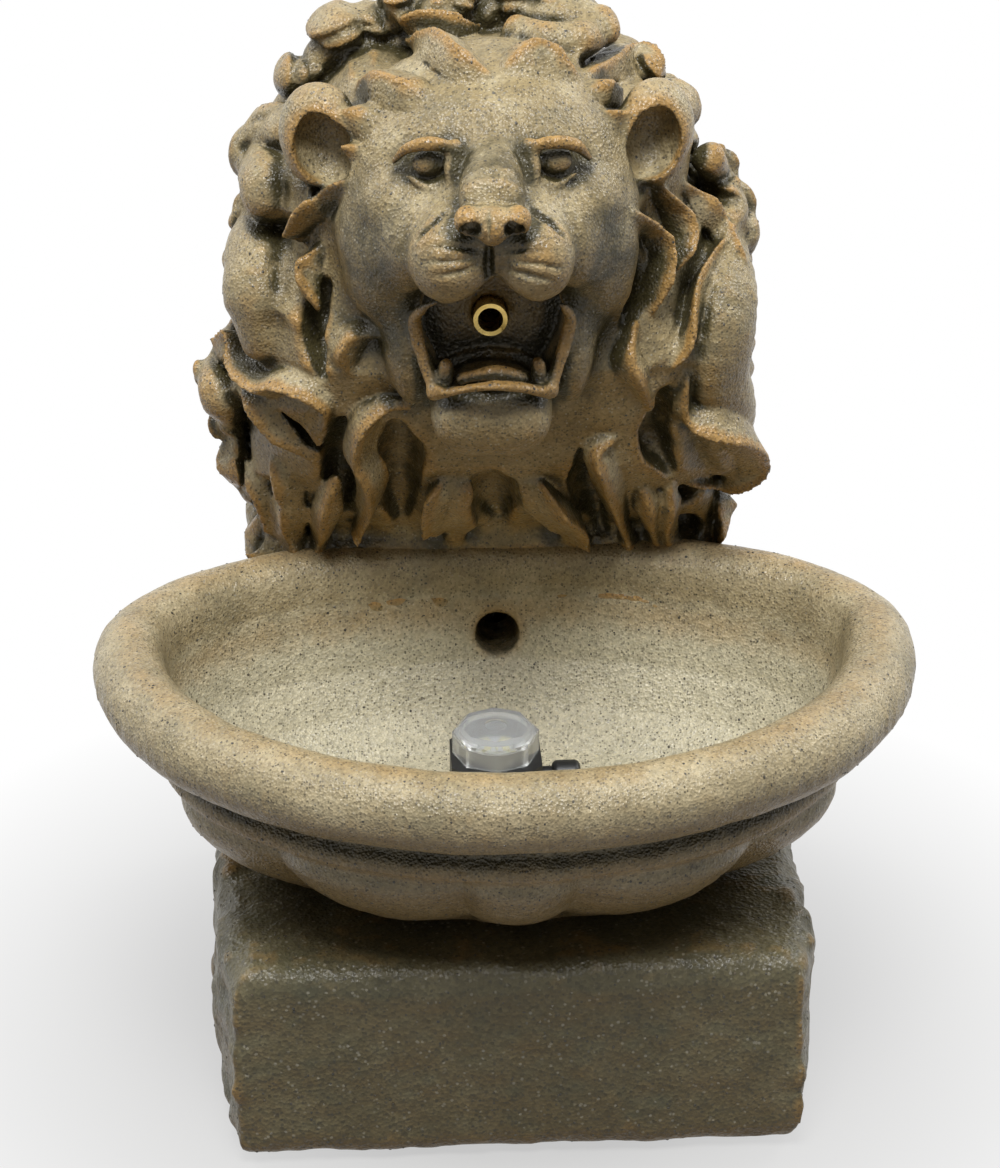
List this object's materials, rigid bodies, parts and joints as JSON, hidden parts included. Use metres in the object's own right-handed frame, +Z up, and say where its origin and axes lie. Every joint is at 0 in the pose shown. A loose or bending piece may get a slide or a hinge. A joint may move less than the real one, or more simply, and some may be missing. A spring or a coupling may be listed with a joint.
{
  "type": "garden fountain",
  "caption": "Small lion-head garden fountain: oval lobed basin on a rough plinth, brass spout in the lion's open mouth, overflow, underwater lamp and a hidden pump with a riser hose.",
  "frame": {"origin": "on the floor, at the middle of the overall box", "axes": "+Z up, the lion faces -Y, +X to the viewer's right"},
  "size_m": [0.25, 0.2122, 0.3164],
  "materials": {
    "cast_stone": "sand-textured cast stone, rubbed ochre on its raised edges, satin sealer",
    "plinth_stone": "coarser rough-hewn cast stone, darker, satin sealer",
    "bedding": "grey-brown adhesive mortar",
    "brass": "drawn tube, slightly dulled",
    "black_rubber": "matt moulded rubber",
    "clear_hose": "soft clear vinyl",
    "black_plastic": "fine-textured moulding",
    "white_plastic": "moulded",
    "potting_resin": "poured epoxy",
    "ferrite": "ground",
    "shaft_ceramic": "polished",
    "stator_steel": "stacked plates",
    "copper_wire": "enamelled winding",
    "clear_lens": "clear moulded cap",
    "circuit_board": "white lacquer",
    "led": "phosphor"
  },
  "bodies": {
    "fountain": {"plinth": "plinth_stone", "basin": "cast_stone", "basin_bedding": "bedding", "lion_head": "cast_stone", "back_plate": "plinth_stone", "cord_grommet": "black_rubber", "foot_pads": "black_rubber", "spout_tube": "brass", "spout_seal": "black_rubber", "riser_hose": "clear_hose", "pump_housing": "black_plastic", "pump_potting": "potting_resin", "pump_volute": "black_plastic", "rotor_shaft": "shaft_ceramic", "shaft_bushes": "black_rubber", "stator_core": "stator_steel", "stator_coil": "copper_wire", "suction_cups": "black_rubber"},
    "access_cover": {"access_cover": "plinth_stone"},
    "pump_rotor": {"impeller": "white_plastic", "rotor_magnet": "ferrite"},
    "intake_cover": {"intake_cover": "black_plastic"},
    "flow_dial": {"flow_dial": "black_plastic"},
    "lamp": {"lamp_body": "black_plastic", "lamp_board": "circuit_board", "lamp_leds": "led", "lamp_seal": "black_rubber", "lamp_gland": "black_plastic"},
    "lamp_lens": {"lamp_lens": "clear_lens"}
  },
  "joints": [
    {"name": "cover_pull", "type": "slide", "parent": "fountain", "child": "access_cover", "axis": [0, 1, 0], "range_m": [0, 0.06]},
    {"name": "rotor_spin", "type": "hinge", "parent": "fountain", "child": "pump_rotor", "pos_m": [0.005, 0.0838, 0.0355], "axis": [1, 0, 0], "continuous": true},
    {"name": "intake_pull", "type": "slide", "parent": "fountain", "child": "intake_cover", "axis": [-1, 0, 0], "range_m": [0, 0.018]},
    {"name": "flow_turn", "type": "hinge", "parent": "intake_cover", "child": "flow_dial", "pos_m": [-0.0246, 0.0838, 0.0355], "axis": [1, 0, 0], "range_deg": [0, 22.5]},
    {"name": "lamp_lift", "type": "slide", "parent": "fountain", "child": "lamp", "axis": [0, 0, 1], "range_m": [0, 0.07]},
    {"name": "lens_twist", "type": "hinge", "parent": "lamp", "child": "lamp_lens", "pos_m": [-0.003, 0.0009, 0.099], "axis": [0, 0, 1], "range_deg": [0, 45]}
  ]
}
